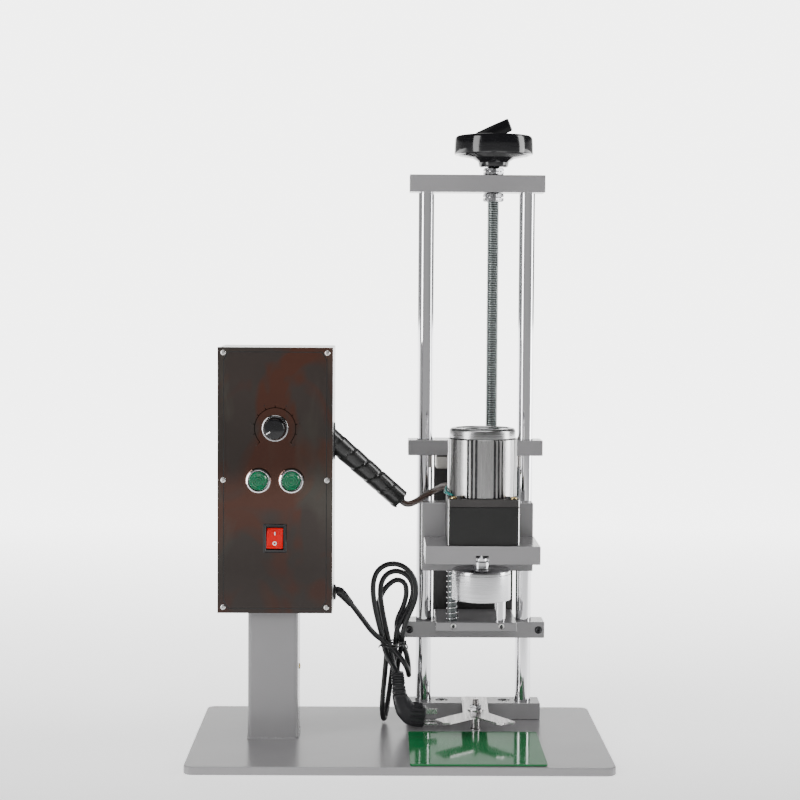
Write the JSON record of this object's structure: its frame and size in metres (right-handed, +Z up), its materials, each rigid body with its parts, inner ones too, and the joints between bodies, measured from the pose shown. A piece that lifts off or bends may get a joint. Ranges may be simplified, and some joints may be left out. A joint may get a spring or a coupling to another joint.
{
  "type": "capping machine",
  "caption": "Bench capping machine: a gear motor spins a rubber-lined cap cup on a handwheel-set lift cage beside a control box on a column.",
  "frame": {"origin": "centre of the base plate's underside", "axes": "+Z up, +X to the operator's right, +Y to the back"},
  "size_m": [0.45, 0.28, 0.6982],
  "materials": {
    "grey_paint": "smooth gloss enamel",
    "box_paint": "fine powder coat",
    "green_mat": "glossy sheet",
    "chrome": "polished",
    "zinc_steel": "bright zinc plate",
    "dark_steel": "black oxide",
    "stainless": "satin",
    "motor_aluminium": "turned and die cast",
    "head_aluminium": "brushed",
    "gearbox_paint": "satin charcoal with bright edges",
    "bronze": "turned",
    "black_plastic": "polished",
    "black_rubber": "matt",
    "mirror_panel": "dark mirror",
    "green_lens": "ridged translucent lens",
    "red_plastic": "translucent, glossy",
    "cream_metal": "satin",
    "circuit_board": "solder mask"
  },
  "bodies": {
    "frame": {"base_plate": "grey_paint", "work_mat": "green_mat", "foot_block": "grey_paint", "foot_screw_left": "dark_steel", "foot_screw_right": "dark_steel", "guide_rod_left": "chrome", "guide_rod_right": "chrome", "top_bar": "grey_paint", "locator_stud": "stainless", "locator_nut": "stainless", "column": "grey_paint", "control_box": "box_paint", "front_panel": "mirror_panel", "potentiometer": "dark_steel", "button_housing_left": "chrome", "button_housing_right": "chrome", "switch_housing": "black_plastic", "control_board": "circuit_board", "motor_capacitor": "black_plastic", "loom_grommet": "black_rubber", "power_gland": "black_rubber", "wire_loom": "black_rubber", "power_cord_lead": "black_rubber", "power_cord_hank": "black_rubber", "mains_plug": "black_rubber"},
    "handwheel": {"handwheel": "black_plastic", "lead_screw": "zinc_steel", "upper_lock_nut": "dark_steel", "lower_lock_nut": "dark_steel"},
    "handle": {"fold_handle": "black_plastic"},
    "lift_cage": {"upper_crossbar": "grey_paint", "lead_nut": "bronze", "clamp_bar": "cream_metal", "lower_crossbar": "grey_paint", "clamp_screw_left": "dark_steel", "clamp_screw_right": "dark_steel", "back_plate": "grey_paint", "support_plate": "grey_paint", "spring_post": "chrome", "plain_post": "chrome", "float_spring": "zinc_steel"},
    "head_unit": {"bracket_block": "grey_paint", "motor_platform": "grey_paint", "gearbox": "gearbox_paint", "motor_flange": "gearbox_paint", "motor_body": "motor_aluminium", "motor_end_ring": "motor_aluminium", "motor_leads": "black_rubber"},
    "rotor": {"motor_rotor": "dark_steel"},
    "lay_shaft": {"reduction_gear": "dark_steel"},
    "spindle": {"output_shaft": "chrome", "output_gear": "dark_steel", "capping_head": "head_aluminium", "chuck_liner": "black_rubber"},
    "locator": {"locator_plate": "stainless"},
    "knob": {"speed_knob": "black_plastic"},
    "button_left": {"button_lens_left": "green_lens"},
    "button_right": {"button_lens_right": "green_lens"},
    "rocker": {"power_rocker": "red_plastic"}
  },
  "joints": [
    {"name": "handwheel_turn", "type": "hinge", "parent": "frame", "child": "handwheel", "pos_m": [0.1053, 0.0905, 0.6576], "axis": [0, 0, 1], "range_deg": [-21600, 9900]},
    {"name": "handle_fold", "type": "hinge", "parent": "handwheel", "child": "handle", "pos_m": [0.0788, 0.0905, 0.6695], "axis": [0, -1, 0], "range_deg": [0, 68]},
    {"name": "lift_slide", "type": "slide", "parent": "frame", "child": "lift_cage", "axis": [0, 0, 1], "range_m": [-0.055, 0.12], "deforming": ["wire_loom"]},
    {"name": "head_float", "type": "slide", "parent": "lift_cage", "child": "head_unit", "axis": [0, 0, 1], "range_m": [0, 0.015], "stiffness_N_per_m": 1200, "springref_m": 0.02, "deforming": ["float_spring"]},
    {"name": "rotor_turn", "type": "hinge", "parent": "head_unit", "child": "rotor", "pos_m": [0.0885, -0.03, 0.28], "axis": [0, 0, 1], "continuous": true},
    {"name": "lay_shaft_turn", "type": "hinge", "parent": "head_unit", "child": "lay_shaft", "pos_m": [0.10208, -0.01642, 0.2712], "axis": [0, 0, 1], "continuous": true},
    {"name": "spindle_turn", "type": "hinge", "parent": "head_unit", "child": "spindle", "pos_m": [0.0885, -0.03, 0.2085], "axis": [0, 0, 1], "continuous": true},
    {"name": "locator_slide", "type": "slide", "parent": "frame", "child": "locator", "axis": [0, 1, 0], "range_m": [-0.015, 0.009]},
    {"name": "knob_turn", "type": "hinge", "parent": "frame", "child": "knob", "pos_m": [-0.1357, -0.042, 0.353], "axis": [0, 1, 0], "range_deg": [0, 264]},
    {"name": "button_left_press", "type": "slide", "parent": "frame", "child": "button_left", "axis": [0, 1, 0], "range_m": [0, 0.0028], "stiffness_N_per_m": 400, "springref_m": -0.004},
    {"name": "button_right_press", "type": "slide", "parent": "frame", "child": "button_right", "axis": [0, 1, 0], "range_m": [0, 0.0028], "stiffness_N_per_m": 400, "springref_m": -0.004},
    {"name": "rocker_tilt", "type": "hinge", "parent": "frame", "child": "rocker", "pos_m": [-0.1357, -0.041, 0.2337], "axis": [1, 0, 0], "range_deg": [0, 18]}
  ],
  "couplings": [
    {"joint": "handwheel_turn", "follows": "lift_slide", "rad_per_m": -3141.6},
    {"joint": "lay_shaft_turn", "follows": "rotor_turn", "ratio": -0.33333},
    {"joint": "spindle_turn", "follows": "rotor_turn", "ratio": 0.16667}
  ]
}
